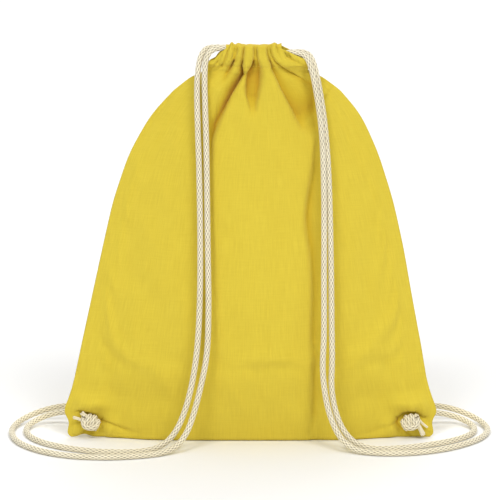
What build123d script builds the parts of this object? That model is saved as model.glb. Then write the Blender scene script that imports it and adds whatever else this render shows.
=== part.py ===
"""Drawstring backpack of thin cotton, standing upright with its mouth drawn closed.

Millimetres, +Z up, the front of the bag faces -Y and +X is to the right seen from the front.
The origin is the middle of the base, on the surface that the bag stands on.
"""
import math
import os

from build123d import *

os.makedirs("parts", exist_ok=True)

# ---- driving dimensions -------------------------------------------------------------------
BAG_HEIGHT = 418.0        # top edge of the hem above the floor
EAR_REACH = 190.0         # tip of a bottom corner from the middle: 380 mm across
WALL = 1.6                # stand-in thickness of a cloth wall
NECK_TOP = 387.0          # where the walls end and the hems begin
BODY_GAP = 0.4            # clearance between pieces that move apart
SEAM_HALF = 1.5           # half the thickness of a seam allowance
SEAM_WIDTH = 9.0          # how far a seam allowance reaches inwards
TIP_WALL = 3.0            # wall left at the seam, along X

# section of the bag by height: height, middle, half width, half depth
SECTIONS = [
    (0.0, 0.0, 140.0, 17.0),
    (16.0, 0.0, 147.0, 23.0),
    (34.0, 0.0, 158.0, 30.0),
    (50.0, 0.5, 171.0, 35.0),
    (64.0, 0.8, 180.5, 39.0),
    (100.0, 0.8, 174.5, 44.5),
    (150.0, 1.5, 164.5, 46.0),
    (200.0, 2.6, 154.8, 43.0),
    (250.0, 2.7, 143.8, 38.0),
    (300.0, 3.3, 127.8, 32.0),
    (340.0, 5.5, 108.0, 26.5),
    (365.0, 6.7, 86.8, 22.5),
    (380.0, 6.2, 67.0, 19.5),
    (NECK_TOP, 6.2, 50.0, 17.6),
]

# bottom corners: two layers sewn flat together, with one hole for the cord
EAR_HALF = 1.6            # half the thickness of the flat corner
HOLE_X = 165.0
HOLE_Z = 16.2
HOLE_RADIUS = 5.8
RING_WIDTH = 2.2          # overcast thread round the hole
RING_HEIGHT = 0.6

# hems: a flat sleeve along each side of the mouth, with a slot for two cords
HEM_FRONT = -16.0         # outer face of the front hem, and its hinge line
HEM_DEPTH = 12.0
HEM_BOTTOM = NECK_TOP + BODY_GAP
HEM_LEFT = -27.0
HEM_RIGHT = 35.0
HEM_FOOT = 8.0            # height over which the hem widens towards the neck
FOOT_LEFT = -37.0
FOOT_RIGHT = 51.0
SLOT_DEPTH = 6.2
SLOT_BOTTOM = 403.6
SLOT_TOP = 415.6
STITCH_Z = HEM_BOTTOM + 5.0
STITCH_SIZE = (2.8, 0.5, 0.7)
STITCH_PITCH = 4.0

# cords
CORD_DIAMETER = 5.0
CORD_RADIUS = CORD_DIAMETER / 2
RUN_Y = 10.0              # a cord inside a hem from the middle of the mouth
LEFT_CORD_Z = 412.4       # the cord that leaves on the left runs above
RIGHT_CORD_Z = 406.8      # the cord that leaves on the right runs below
RETURN_REACH = 5.2        # how far the far loop of a cord stands out of the hems
RETURN_RADIUS = 5.0
PAIR_HALF = 2.8           # half the distance between two cords in one hole
KNOT_SIZE = (21.0, 13.0, 18.5)
KNOT_FILLET = 5.4
KNOT_BACK = -(EAR_HALF + RING_HEIGHT)
KNOT_Y = KNOT_BACK - KNOT_SIZE[1] / 2

START = BODY_GAP          # a strand starts this far outside its hem

# ---- routes of the four free strands, from the hem to the knot ------------------------------
LEFT_FRONT_ROUTE = [
    (HEM_LEFT - START, -RUN_Y, LEFT_CORD_Z),
    (-35.2, -RUN_Y, LEFT_CORD_Z),
    (-42.4, -13.0, 408.6),
    (-46.4, -17.2, 399.0),
    (-48.0, -19.6, 384.0),
    (-47.7, -22.4, 358.0),
    (-46.8, -30.0, 318.0),
    (-46.0, -38.6, 262.0),
    (-44.5, -45.2, 205.0),
    (-43.6, -49.0, 150.0),
    (-45.4, -50.8, 100.0),
    (-50.5, -52.0, 68.0),
    (-57.5, -54.0, 40.0),
    (-65.0, -59.5, 19.0),
    (-76.5, -69.5, 6.0),
    (-93.0, -82.5, 2.6),
    (-120.0, -94.0, 2.6),
    (-154.0, -98.0, 2.6),
    (-189.0, -90.5, 2.6),
    (-219.0, -68.0, 2.6),
    (-240.0, -34.0, 2.6),
    (-248.0, 6.0, 2.6),
    (-244.0, 43.0, 3.4),
    (-228.0, 64.0, 8.0),
    (-206.0, 68.0, 14.5),
    (-185.5, 60.0, 19.0),
    (-169.5, 41.5, 19.0),
    (-162.6, 23.0, 17.4),
    (-HOLE_X + PAIR_HALF, 10.0, HOLE_Z),
    (-HOLE_X + PAIR_HALF, KNOT_BACK, HOLE_Z),
]
LEFT_BACK_ROUTE = [
    (HEM_LEFT - START, RUN_Y, LEFT_CORD_Z),
    (-36.2, RUN_Y, LEFT_CORD_Z),
    (-45.4, 4.6, 411.8),
    (-50.6, -5.6, 405.0),
    (-53.4, -14.2, 393.0),
    (-54.8, -19.5, 374.0),
    (-54.4, -26.2, 338.0),
    (-53.4, -34.8, 288.0),
    (-52.2, -43.0, 225.0),
    (-51.9, -48.2, 165.0),
    (-53.6, -50.6, 112.0),
    (-58.8, -51.8, 73.0),
    (-66.5, -53.4, 42.0),
    (-76.0, -57.5, 20.0),
    (-89.5, -65.0, 7.0),
    (-108.5, -73.0, 2.6),
    (-137.0, -76.5, 2.6),
    (-169.0, -70.0, 2.6),
    (-199.0, -51.5, 2.6),
    (-221.5, -25.5, 2.6),
    (-232.5, 6.0, 2.6),
    (-231.0, 35.0, 3.4),
    (-217.5, 51.5, 8.0),
    (-200.0, 50.0, 14.0),
    (-184.0, 38.5, 17.0),
    (-173.0, 23.5, 17.2),
    (-HOLE_X - PAIR_HALF, 10.0, HOLE_Z),
    (-HOLE_X - PAIR_HALF, KNOT_BACK, HOLE_Z),
]
RIGHT_FRONT_ROUTE = [
    (HEM_RIGHT + START, -RUN_Y, RIGHT_CORD_Z),
    (43.6, -RUN_Y, RIGHT_CORD_Z),
    (52.4, -10.5, 406.2),
    (58.4, -14.0, 402.2),
    (62.2, -19.0, 392.5),
    (65.6, -21.8, 378.0),
    (69.4, -24.6, 356.0),
    (73.4, -29.0, 324.0),
    (74.9, -36.0, 280.0),
    (75.3, -43.0, 228.0),
    (75.0, -48.4, 172.0),
    (75.4, -51.2, 120.0),
    (73.4, -52.4, 84.0),
    (77.2, -53.8, 52.0),
    (83.6, -56.5, 30.0),
    (93.0, -63.0, 13.0),
    (107.5, -72.5, 4.2),
    (129.0, -80.0, 2.6),
    (157.0, -81.0, 2.6),
    (187.0, -70.5, 2.6),
    (214.0, -50.0, 2.6),
    (236.0, -21.0, 2.6),
    (246.5, 13.0, 2.6),
    (243.0, 43.0, 3.4),
    (228.0, 63.0, 8.0),
    (206.5, 68.5, 14.5),
    (185.5, 60.5, 19.0),
    (169.5, 41.5, 19.0),
    (162.4, 23.0, 17.4),
    (HOLE_X - PAIR_HALF, 10.0, HOLE_Z),
    (HOLE_X - PAIR_HALF, KNOT_BACK, HOLE_Z),
]
RIGHT_BACK_ROUTE = [
    (HEM_RIGHT + START, RUN_Y, RIGHT_CORD_Z),
    (44.2, RUN_Y, RIGHT_CORD_Z),
    (53.6, 9.2, 406.9),
    (61.0, 4.0, 404.6),
    (64.6, -5.5, 397.5),
    (67.4, -12.6, 385.5),
    (71.2, -18.0, 366.0),
    (76.2, -23.0, 334.0),
    (79.8, -30.6, 288.0),
    (81.4, -38.6, 234.0),
    (82.6, -44.6, 178.0),
    (83.0, -48.0, 126.0),
    (83.8, -49.4, 94.0),
    (82.4, -50.2, 66.0),
    (86.4, -51.6, 41.0),
    (94.5, -55.4, 21.0),
    (107.5, -61.5, 8.0),
    (126.0, -64.5, 3.2),
    (151.0, -60.0, 2.6),
    (179.0, -48.0, 2.6),
    (206.0, -30.0, 2.6),
    (226.0, -6.0, 2.6),
    (233.5, 22.0, 2.8),
    (226.0, 44.0, 5.0),
    (211.0, 52.5, 9.6),
    (194.5, 47.5, 14.0),
    (181.0, 36.5, 17.0),
    (172.0, 22.5, 17.2),
    (HOLE_X + PAIR_HALF, 10.0, HOLE_Z),
    (HOLE_X + PAIR_HALF, KNOT_BACK, HOLE_Z),
]
ROUTES = {
    "left_cord_front_strand": LEFT_FRONT_ROUTE,
    "left_cord_back_strand": LEFT_BACK_ROUTE,
    "right_cord_front_strand": RIGHT_FRONT_ROUTE,
    "right_cord_back_strand": RIGHT_BACK_ROUTE,
}

# cut ends of the cords beyond the knots: knot side, far point
CORD_ENDS = {
    "left_cord_front_end": (-1, (-184.0, -8.0, 22.6)),
    "left_cord_back_end": (-1, (-175.5, -8.4, 30.0)),
    "right_cord_front_end": (1, (178.5, -8.4, 4.2)),
    "right_cord_back_end": (1, (183.5, -7.2, 11.6)),
}


def save(shape, name):
    """Label a sub-part and write it."""
    shape.label = name
    export_step(shape, f"parts/{name}.step")


def lens_face(height, middle, half_width, half_depth):
    """Section of the bag: two shallow arcs that meet in the side seams."""
    left = (middle - half_width, 0)
    right = (middle + half_width, 0)
    front = ThreePointArc(left, (middle, -half_depth), right)
    back = ThreePointArc(right, (middle, half_depth), left)
    return Pos(0, 0, height) * make_face([front, back])


def bag_loft(tip_inset, wall_inset, lowest):
    """The bag's outer form drawn in by the given insets, from the given height up."""
    faces = []
    for height, middle, half_width, half_depth in SECTIONS:
        if height == 0.0:
            height = lowest
        faces.append(lens_face(height, middle, half_width - tip_inset, half_depth - wall_inset))
    if wall_inset:
        height, middle, half_width, half_depth = SECTIONS[-1]
        top = lens_face(height + 5, middle, half_width - tip_inset, half_depth - wall_inset)
        faces.append(top)
    return loft(faces, ruled=True)


def seam_core():
    """Everything further in than a seam allowance reaches."""
    faces = []
    for height, middle, half_width, _ in SECTIONS:
        rectangle = Rectangle(2 * (half_width - SEAM_WIDTH), 20)
        faces.append(Pos(middle, 0, max(height, SEAM_WIDTH - 1)) * rectangle)
    return loft(faces, ruled=True)


def make_bag():
    """Front and back panels, the two side seams and the bottom seam."""
    outer = bag_loft(0.0, 0.0, 0.0)
    inner = bag_loft(TIP_WALL, WALL, WALL)
    shell = outer - inner
    slab = Pos(0, 0, BAG_HEIGHT / 2) * Box(500, 2 * SEAM_HALF, BAG_HEIGHT + 20)
    seams = (outer & slab) - seam_core()
    side = Box(500, 200, 1000, align=(Align.CENTER, Align.MAX, Align.CENTER))
    save((shell & side) - seams, "front_panel")
    save((shell - side) - seams, "back_panel")
    bottom_zone = Box(2 * (SECTIONS[0][2] - SEAM_WIDTH), 20, 4 * SEAM_WIDTH)
    save(seams & bottom_zone, "bottom_seam")
    sides = seams - bottom_zone
    half = Pos(SECTIONS[-1][1], 0, 0) * Box(500, 20, 1000, align=(Align.MAX, Align.CENTER, Align.CENTER))
    save(sides & half, "left_side_seam")
    save(sides - half, "right_side_seam")
    return outer


def ear_outline(side):
    """Outline of a flat bottom corner, mirrored for the two sides."""
    points = [
        (180.6, 64.0),
        (185.0, 46.0),
        (EAR_REACH, 35.0),
        (EAR_REACH, 27.0),
        (186.6, 18.5),
        (187.4, 8.0),
        (184.0, 0.8),
        (136.0, 0.8),
        (150.0, 40.0),
        (172.0, 64.0),
    ]
    return [(side * x, z) for x, z in points]


def make_corner(side, word, outer):
    """A flat sewn corner with the hole for the cord, and the thread round the hole."""
    plate = extrude(Plane.XZ * make_face(Polyline(ear_outline(side), close=True)), EAR_HALF, both=True)
    hole = Pos(side * HOLE_X, 0, HOLE_Z) * Rot(90, 0, 0) * Cylinder(HOLE_RADIUS, 20)
    save(plate - outer - hole, f"{word}_corner")
    ring = Cylinder(HOLE_RADIUS + RING_WIDTH, RING_HEIGHT) - Cylinder(HOLE_RADIUS, RING_HEIGHT)
    rings = []
    for face in (-1, 1):
        y = face * (EAR_HALF + RING_HEIGHT / 2)
        rings.append(Pos(side * HOLE_X, y, HOLE_Z) * Rot(90, 0, 0) * ring)
    save(Compound(children=rings), f"{word}_hole_stitching")


def make_hem(side, word):
    """The sleeve along one side of the mouth, its stitches and the two cords in it."""
    outline = [
        (FOOT_LEFT, HEM_BOTTOM),
        (HEM_LEFT, HEM_BOTTOM + HEM_FOOT),
        (HEM_LEFT, BAG_HEIGHT - 2),
        (HEM_LEFT + 3, BAG_HEIGHT),
        (HEM_RIGHT - 3, BAG_HEIGHT),
        (HEM_RIGHT, BAG_HEIGHT - 2),
        (HEM_RIGHT, HEM_BOTTOM + HEM_FOOT),
        (FOOT_RIGHT, HEM_BOTTOM),
    ]
    middle_y = side * (abs(HEM_FRONT) - HEM_DEPTH / 2)
    sleeve = extrude(Plane.XZ * make_face(Polyline(outline, close=True)), HEM_DEPTH / 2, both=True)
    slot = Pos(0, 0, (SLOT_BOTTOM + SLOT_TOP) / 2) * Box(300, SLOT_DEPTH, SLOT_TOP - SLOT_BOTTOM)
    save(Pos(0, middle_y, 0) * (sleeve - slot), f"{word}_hem")
    length = HEM_RIGHT - HEM_LEFT
    middle_x = (HEM_RIGHT + HEM_LEFT) / 2
    for cord, height in (("left", LEFT_CORD_Z), ("right", RIGHT_CORD_Z)):
        run = Pos(middle_x, side * RUN_Y, height) * Rot(0, 90, 0) * Cylinder(CORD_RADIUS, length)
        save(run, f"{cord}_cord_{word}_run")
    stitches = []
    y = side * (abs(HEM_FRONT) + STITCH_SIZE[1] / 2)
    for index in range(int(length / STITCH_PITCH)):
        x = HEM_LEFT + STITCH_PITCH * (index + 0.5)
        stitches.append(Pos(x, y, STITCH_Z) * Box(*STITCH_SIZE))
    save(Compound(children=stitches), f"{word}_hem_stitching")


def make_return(name, end_x, side, height):
    """The far loop of a cord, from one hem to the other across the end of the mouth."""
    near = end_x + side * START
    far = near + side * RETURN_REACH
    path = FilletPolyline(
        (near, -RUN_Y, height), (far, -RUN_Y, height), (far, RUN_Y, height), (near, RUN_Y, height),
        radius=RETURN_RADIUS,
    )
    section = Plane(origin=path @ 0, z_dir=path % 0) * Circle(CORD_RADIUS)
    save(sweep(section, path=path), name)


def corner_radii(points):
    """Radius at each inner point: 0.45 of the shorter run over the tangent of half the turn."""
    radii = []
    for before, here, after in zip(points, points[1:], points[2:]):
        run_in = Vector(*here) - Vector(*before)
        run_out = Vector(*after) - Vector(*here)
        turn = math.radians(run_in.get_angle(run_out))
        radii.append(0.45 * min(run_in.length, run_out.length) / math.tan(turn / 2))
    return radii


def make_strand(name, points):
    """A free strand: straight runs joined by tangent arcs."""
    radii = corner_radii(points)
    path = FilletPolyline(*points, radius=radii)
    section = Plane(origin=path @ 0, z_dir=path % 0) * Circle(CORD_RADIUS)
    tube = sweep(section, path=path)
    ratio = tube.volume / (math.pi * CORD_RADIUS**2 * path.length)
    print(f"{name}: length {path.length:.1f}, volume ratio {ratio:.4f}, smallest radius {min(radii):.1f}")
    print("  radii", " ".join(f"{radius:.0f}" for radius in radii))
    save(tube, name)


def make_knots():
    """The knot in front of each corner, and the cut cord ends that stand out of it."""
    block = Box(*KNOT_SIZE)
    block = fillet(block.edges(), KNOT_FILLET)
    knots = {}
    for side, word in ((-1, "left"), (1, "right")):
        knots[side] = Pos(side * HOLE_X, KNOT_Y, HOLE_Z) * block
        save(knots[side], f"{word}_knot")
    for name, (side, far) in CORD_ENDS.items():
        start = Vector(side * HOLE_X, KNOT_Y, HOLE_Z)
        direction = Vector(*far) - start
        plane = Plane(origin=start, z_dir=direction)
        stub = extrude(plane * Circle(CORD_RADIUS), direction.length)
        save(stub - knots[side], name)


bag_form = make_bag()
make_corner(-1, "left", bag_form)
make_corner(1, "right", bag_form)
make_hem(-1, "front")
make_hem(1, "back")
make_return("left_cord_return", HEM_RIGHT, 1, LEFT_CORD_Z)
make_return("right_cord_return", HEM_LEFT, -1, RIGHT_CORD_Z)
for strand_name, route in ROUTES.items():
    make_strand(strand_name, route)
make_knots()
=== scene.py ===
"""Looks of the drawstring backpack: gathered cotton cloth, braided cords, knots and stitching.

Metres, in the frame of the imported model. The front of the bag faces -Y.
"""
import math

import bpy
import numpy as np
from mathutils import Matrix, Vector


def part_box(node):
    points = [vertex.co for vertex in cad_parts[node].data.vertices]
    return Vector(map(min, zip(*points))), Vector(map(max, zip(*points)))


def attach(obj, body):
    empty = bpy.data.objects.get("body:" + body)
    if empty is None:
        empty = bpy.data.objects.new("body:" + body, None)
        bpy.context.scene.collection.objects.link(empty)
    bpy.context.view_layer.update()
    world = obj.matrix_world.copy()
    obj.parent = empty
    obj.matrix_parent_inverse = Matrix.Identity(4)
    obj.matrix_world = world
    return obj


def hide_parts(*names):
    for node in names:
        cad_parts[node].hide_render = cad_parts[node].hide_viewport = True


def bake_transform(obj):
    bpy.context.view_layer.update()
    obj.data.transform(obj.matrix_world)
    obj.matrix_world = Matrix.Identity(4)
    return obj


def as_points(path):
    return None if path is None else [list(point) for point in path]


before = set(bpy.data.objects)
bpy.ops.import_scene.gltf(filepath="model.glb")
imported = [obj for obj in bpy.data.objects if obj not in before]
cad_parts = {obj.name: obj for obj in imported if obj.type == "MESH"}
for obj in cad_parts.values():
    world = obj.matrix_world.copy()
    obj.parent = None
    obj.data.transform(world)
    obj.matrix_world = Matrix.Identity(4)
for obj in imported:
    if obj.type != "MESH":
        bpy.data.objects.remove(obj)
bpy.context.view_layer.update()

# ---- view ----
VIEW_ELEVATION = math.radians(13)
VIEW_DISTANCE = 9.0
VIEW_WIDTH = 0.5135        # width of the view at the bag
VIEW_AIM = (-0.0005, 0.0, 0.1981)

# ---- cords ----
CORD_CREST = 0.0031        # from the centreline to the top of a braid's stitch
BRAID_STRANDS = 6          # strands that wind each way round a cord
BRAID_LAY = 0.038          # length in which a strand goes once round
BRAID_DEPTH = 0.0008
RING_POINTS = 36
RING_STEP = 0.0006
MM = 0.001

# routes of the free strands, from the hem to the knot
LEFT_FRONT = [
    (-0.0240, -0.0100, 0.4122),
    (-0.0340, -0.0100, 0.4124),
    (-0.0424, -0.0130, 0.4086),
    (-0.0464, -0.0172, 0.3990),
    (-0.0470, -0.0196, 0.3840),
    (-0.0465, -0.0224, 0.3580),
    (-0.0451, -0.0300, 0.3180),
    (-0.0443, -0.0386, 0.2620),
    (-0.0436, -0.0452, 0.2050),
    (-0.0427, -0.0490, 0.1500),
    (-0.0440, -0.0508, 0.1000),
    (-0.0505, -0.0520, 0.0680),
    (-0.0575, -0.0540, 0.0400),
    (-0.0650, -0.0595, 0.0190),
    (-0.0765, -0.0695, 0.0060),
    (-0.0930, -0.0825, 0.0032),
    (-0.1200, -0.0940, 0.0032),
    (-0.1540, -0.0980, 0.0032),
    (-0.1890, -0.0905, 0.0032),
    (-0.2190, -0.0680, 0.0032),
    (-0.2400, -0.0340, 0.0032),
    (-0.2480, 0.0060, 0.0032),
    (-0.2440, 0.0430, 0.0034),
    (-0.2280, 0.0640, 0.0080),
    (-0.2060, 0.0680, 0.0145),
    (-0.1855, 0.0600, 0.0190),
    (-0.1695, 0.0415, 0.0190),
    (-0.1626, 0.0230, 0.0174),
    (-0.1622, 0.0100, 0.0162),
    (-0.1622, -0.0022, 0.0162),
]
LEFT_BACK = [
    (-0.0240, 0.0100, 0.4084),
    (-0.0350, 0.0100, 0.4088),
    (-0.0452, 0.0046, 0.4090),
    (-0.0506, -0.0056, 0.4036),
    (-0.0534, -0.0142, 0.3926),
    (-0.0548, -0.0195, 0.3740),
    (-0.0540, -0.0262, 0.3380),
    (-0.0523, -0.0348, 0.2880),
    (-0.0513, -0.0430, 0.2250),
    (-0.0514, -0.0482, 0.1650),
    (-0.0536, -0.0506, 0.1120),
    (-0.0588, -0.0518, 0.0730),
    (-0.0665, -0.0534, 0.0420),
    (-0.0760, -0.0575, 0.0200),
    (-0.0895, -0.0650, 0.0070),
    (-0.1085, -0.0730, 0.0032),
    (-0.1370, -0.0765, 0.0032),
    (-0.1690, -0.0700, 0.0032),
    (-0.1990, -0.0515, 0.0032),
    (-0.2215, -0.0255, 0.0032),
    (-0.2325, 0.0060, 0.0032),
    (-0.2310, 0.0350, 0.0034),
    (-0.2175, 0.0515, 0.0080),
    (-0.2000, 0.0500, 0.0140),
    (-0.1840, 0.0385, 0.0170),
    (-0.1730, 0.0235, 0.0172),
    (-0.1678, 0.0100, 0.0162),
    (-0.1678, -0.0022, 0.0162),
]
RIGHT_FRONT = [
    (0.0324, -0.0100, 0.4066),
    (0.0430, -0.0100, 0.4068),
    (0.0524, -0.0105, 0.4062),
    (0.0584, -0.0140, 0.4022),
    (0.0622, -0.0190, 0.3925),
    (0.0656, -0.0218, 0.3780),
    (0.0694, -0.0246, 0.3560),
    (0.0734, -0.0290, 0.3240),
    (0.0749, -0.0360, 0.2800),
    (0.0753, -0.0430, 0.2280),
    (0.0750, -0.0484, 0.1720),
    (0.0754, -0.0512, 0.1200),
    (0.0734, -0.0524, 0.0840),
    (0.0772, -0.0538, 0.0520),
    (0.0836, -0.0565, 0.0300),
    (0.0930, -0.0630, 0.0130),
    (0.1075, -0.0725, 0.0042),
    (0.1290, -0.0800, 0.0032),
    (0.1570, -0.0810, 0.0032),
    (0.1870, -0.0705, 0.0032),
    (0.2140, -0.0500, 0.0032),
    (0.2360, -0.0210, 0.0032),
    (0.2465, 0.0130, 0.0032),
    (0.2430, 0.0430, 0.0034),
    (0.2280, 0.0630, 0.0080),
    (0.2065, 0.0685, 0.0145),
    (0.1855, 0.0605, 0.0190),
    (0.1695, 0.0415, 0.0190),
    (0.1624, 0.0230, 0.0174),
    (0.1622, 0.0100, 0.0162),
    (0.1622, -0.0022, 0.0162),
]
RIGHT_BACK = [
    (0.0324, 0.0100, 0.4028),
    (0.0442, 0.0100, 0.4034),
    (0.0532, 0.0092, 0.4040),
    (0.0604, 0.0040, 0.4022),
    (0.0644, -0.0055, 0.3960),
    (0.0674, -0.0126, 0.3855),
    (0.0712, -0.0180, 0.3660),
    (0.0762, -0.0230, 0.3340),
    (0.0798, -0.0306, 0.2880),
    (0.0814, -0.0386, 0.2340),
    (0.0826, -0.0446, 0.1780),
    (0.0830, -0.0480, 0.1260),
    (0.0838, -0.0494, 0.0940),
    (0.0824, -0.0502, 0.0660),
    (0.0864, -0.0516, 0.0410),
    (0.0945, -0.0554, 0.0210),
    (0.1075, -0.0615, 0.0080),
    (0.1260, -0.0645, 0.0032),
    (0.1510, -0.0600, 0.0032),
    (0.1790, -0.0480, 0.0032),
    (0.2060, -0.0300, 0.0032),
    (0.2260, -0.0060, 0.0032),
    (0.2335, 0.0220, 0.0032),
    (0.2260, 0.0440, 0.0050),
    (0.2110, 0.0525, 0.0096),
    (0.1945, 0.0475, 0.0140),
    (0.1810, 0.0365, 0.0170),
    (0.1720, 0.0225, 0.0172),
    (0.1678, 0.0100, 0.0162),
    (0.1678, -0.0022, 0.0162),
]
# CAD node and route of each free strand
STRANDS = {
    "left_cord_front_strand": LEFT_FRONT,
    "left_cord_back_strand": LEFT_BACK,
    "right_cord_front_strand": RIGHT_FRONT,
    "right_cord_back_strand": RIGHT_BACK,
}


# ---- small helpers ----
def node_points(*names):
    """Vertices of CAD nodes at rest."""
    return np.array([tuple(v.co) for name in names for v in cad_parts[name].data.vertices])


def smoothstep(low, high, value):
    t = np.clip((value - low) / (high - low), 0, 1)
    return t * t * (3 - 2 * t)


def mesh_object(name, points, faces, uvs=None, painted_shade=None):
    """A smooth-shaded mesh object, with a UV per vertex and, if given, a value per vertex of how much
    painted shade darkens its colour.
    """
    mesh = bpy.data.meshes.new(name)
    mesh.from_pydata([tuple(p) for p in points], [], [tuple(int(i) for i in f) for f in faces])
    mesh.polygons.foreach_set("use_smooth", [True] * len(mesh.polygons))
    if uvs is not None:
        layer = mesh.uv_layers.new(name="cut")
        loops = np.zeros(len(mesh.loops), np.int32)
        mesh.loops.foreach_get("vertex_index", loops)
        layer.data.foreach_set("uv", np.asarray(uvs, np.float32)[loops].ravel())
    if painted_shade is not None:
        # painted shade: how much the material darkens the colour at each vertex
        attribute = mesh.attributes.new("painted_shade", "FLOAT", "POINT")
        attribute.data.foreach_set("value", np.asarray(painted_shade, np.float32))
    mesh.update()
    piece = bpy.data.objects.new(name, mesh)
    bpy.context.scene.collection.objects.link(piece)
    return piece


def grid_faces(rows, columns, closed=False):
    """Quads of a grid of rows x columns points; closed joins the last column to the first."""
    first = np.arange(rows * columns).reshape(rows, columns)
    after = np.roll(first, -1, axis=1)
    if not closed:
        first, after = first[:, :-1], after[:, :-1]
    quads = np.stack([first[:-1], after[:-1], after[1:], first[1:]], axis=-1)
    return quads.reshape(-1, 4)


def join_parts(parts):
    """One list of points, faces and painted-shade values from several."""
    points, faces, painted_shades, count = [], [], [], 0
    for part_points, part_faces, part_painted_shades in parts:
        points.append(part_points)
        faces.extend([tuple(int(i) + count for i in f) for f in part_faces])
        painted_shades.append(part_painted_shades)
        count += len(part_points)
    return np.vstack(points), faces, np.concatenate(painted_shades)


# ---- camera ----
def make_camera():
    data = bpy.data.cameras.new("camera")
    data.sensor_width = 36
    data.lens = data.sensor_width * VIEW_DISTANCE / VIEW_WIDTH
    camera = bpy.data.objects.new("camera", data)
    back = Vector((0, -math.cos(VIEW_ELEVATION), math.sin(VIEW_ELEVATION)))
    camera.location = Vector(VIEW_AIM) + VIEW_DISTANCE * back
    camera.rotation_euler = (math.pi / 2 - VIEW_ELEVATION, 0, 0)
    bpy.context.scene.collection.objects.link(camera)
    bpy.context.scene.camera = camera


# ---- cords ----
def spline_points(route):
    """Points along the NURBS spline that has the route as its control points."""
    curve = bpy.data.curves.new("centreline", "CURVE")
    curve.dimensions = "3D"
    curve.resolution_u = 24
    spline = curve.splines.new("NURBS")
    spline.points.add(len(route) - 1)
    for point, place in zip(spline.points, route):
        point.co = (*place, 1)
    spline.order_u = 3
    spline.use_endpoint_u = True
    holder = bpy.data.objects.new("centreline", curve)
    mesh = bpy.data.meshes.new_from_object(holder)
    points = np.array([tuple(v.co) for v in mesh.vertices])
    bpy.data.objects.remove(holder)
    bpy.data.curves.remove(curve)
    bpy.data.meshes.remove(mesh)
    return points


def even_points(points, step):
    """The same line with points at even distances along it."""
    gaps = np.linalg.norm(np.diff(points, axis=0), axis=1)
    along = np.concatenate([[0], np.cumsum(gaps)])
    count = max(int(round(along[-1] / step)), 2)
    places = np.linspace(0, along[-1], count + 1)
    return np.stack([np.interp(places, along, points[:, k]) for k in range(3)], axis=1), along[-1]


def side_vectors(points):
    """Two unit vectors across the line at each point, carried along it without twist."""
    tangents = np.gradient(points, axis=0)
    tangents /= np.linalg.norm(tangents, axis=1)[:, None]
    across = np.cross(tangents[0], (0.3, 1.0, 0.2))
    across /= np.linalg.norm(across)
    firsts = []
    for tangent in tangents:
        across = across - tangent * np.dot(across, tangent)
        across = across / np.linalg.norm(across)
        firsts.append(across)
    firsts = np.array(firsts)
    return firsts, np.cross(tangents, firsts)


def braid(angle, along):
    """Height, 0 to 1, of a round braid at an angle round the cord and a distance along it."""
    turn = BRAID_STRANDS * angle / (2 * math.pi)
    climb = BRAID_STRANDS * along / BRAID_LAY
    heights = []
    for sign in (1, -1):
        here = turn + sign * climb
        other = turn - sign * climb
        strand = np.round(here)
        profile = 1 - (2 * np.abs(here - strand)) ** 2.2
        over = 0.5 + 0.5 * sign * np.cos(math.pi * (strand + other))
        heights.append(np.sqrt(np.clip(profile, 0, 1)) * (0.25 + 0.75 * over))
    return np.maximum(heights[0], heights[1])


def tube(centres, angle, radii):
    """Points and faces of a closed tube; radii has a row per centre, and one column or all angles'."""
    first, second = side_vectors(centres)
    out = (
        first[:, None, :] * np.cos(angle)[None, :, None]
        + second[:, None, :] * np.sin(angle)[None, :, None]
    )
    points = (centres[:, None, :] + out * radii[:, :, None]).reshape(-1, 3)
    sides, last = len(angle), len(centres) - 1
    faces = [tuple(f) for f in grid_faces(len(centres), sides, closed=True)]
    faces.append(tuple(range(sides))[::-1])
    faces.append(tuple(last * sides + k for k in range(sides)))
    return points, faces


def braided_tube(centres):
    """Points, faces and painted-shade values of a braided cord along evenly spaced centres, the shade
    painted in the gaps between its strands.
    """
    step = np.linalg.norm(centres[1] - centres[0])
    angle = np.arange(RING_POINTS) * 2 * math.pi / RING_POINTS
    along = np.arange(len(centres)) * step
    height = braid(angle[None, :], along[:, None])
    points, faces = tube(centres, angle, CORD_CREST - BRAID_DEPTH * (1 - height))
    return points, faces, 1 - height.reshape(-1)


def make_strands():
    """The four free strands, each with its real length."""
    pieces = {}
    for name, route in STRANDS.items():
        centres, length = even_points(spline_points(route), RING_STEP)
        points, faces, painted_shade = braided_tube(centres)
        piece = mesh_object(name + "_braid", points, faces, painted_shade=painted_shade)
        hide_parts(name)
        pieces[name] = (piece, centres, length)
    return pieces


# ---- cloth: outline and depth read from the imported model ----
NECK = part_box("front_hem")[0].z
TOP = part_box("front_hem")[1].z
MIRROR = 0.0125            # the back's folds are the front's, mirrored about half this place
CLOTH_THICKNESS = 0.00045
COLUMNS = 232
BASE_ROWS = 5              # rows of the cloth under the bag, from the seam to the edge
HEM_ROWS = 34
LEAST_STAND = 0.0003       # least distance of a flank from the middle plane
CORNER_SHARE = 0.86        # place, from the middle to the edge, where the columns are closest
FLAT_WIDTH = 0.380
EAR_FACE = 0.0019          # how far the cloth of a corner stands from the middle plane
EDGE_ROUND = 0.004         # radius of the edge round the base
FOLD_ROUND = 0.0032        # height of the roll along the top of a hem
HEM_OUTER = 0.0192         # outer layer of the front hem from the middle of the mouth
HEM_OUTER_BACK = 0.0172
HEM_INNER = 0.0050         # inner layer of a hem from the middle of the mouth
INNER_END = 5              # the turned-in layer ends this many rows above the neck
HEM_GAP = 0.0012           # between the layers of a hem where they are sewn together
INSIDE_PAINTED_SHADE = 0.25        # how much painted shade darkens the roll and the turned-in layer of a hem, on the scale of the folds' shade
BACK_HEM_SHORT = 0.0040    # the back hem's left end lies this much further in
BACK_DROP = 0.0048         # the back hem's top lies this much lower
CORD_FACE = 0.0136         # least distance of a hem's outer layer from the middle, at the cords
RIPPLE_WAVES = 16
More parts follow.
